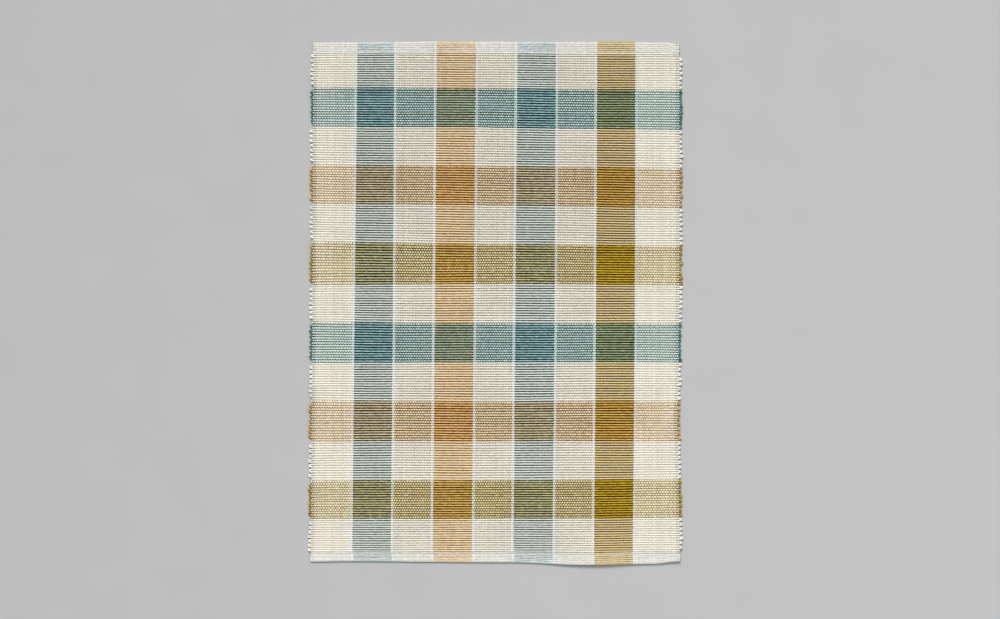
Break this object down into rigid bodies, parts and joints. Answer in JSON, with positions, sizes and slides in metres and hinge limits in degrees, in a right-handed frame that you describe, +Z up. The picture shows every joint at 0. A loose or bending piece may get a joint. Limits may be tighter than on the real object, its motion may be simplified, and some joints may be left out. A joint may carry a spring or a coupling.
{
  "type": "fabric placemat",
  "caption": "Flat ribbed cotton placemat in a woven check of cream, teal, tan and olive, with looped selvedges and turned-under ends, for laying under a plate.",
  "frame": {"origin": "on the table under the middle of the mat", "axes": "+X to the right-hand selvedge, +Y to the far turned-under end, +Z up out of the cloth"},
  "size_m": [0.346, 0.481, 0.0038],
  "materials": {
    "cream_cotton": "matt ribbed cotton cloth in natural cream",
    "white_cotton": "matt bleached cotton yarn",
    "teal_cotton": "matt dyed cotton yarn in teal",
    "tan_cotton": "matt dyed cotton yarn in tan",
    "olive_cotton": "matt dyed cotton yarn in mustard olive"
  },
  "bodies": {
    "root": {"placemat": "cream_cotton"}
  },
  "joints": []
}
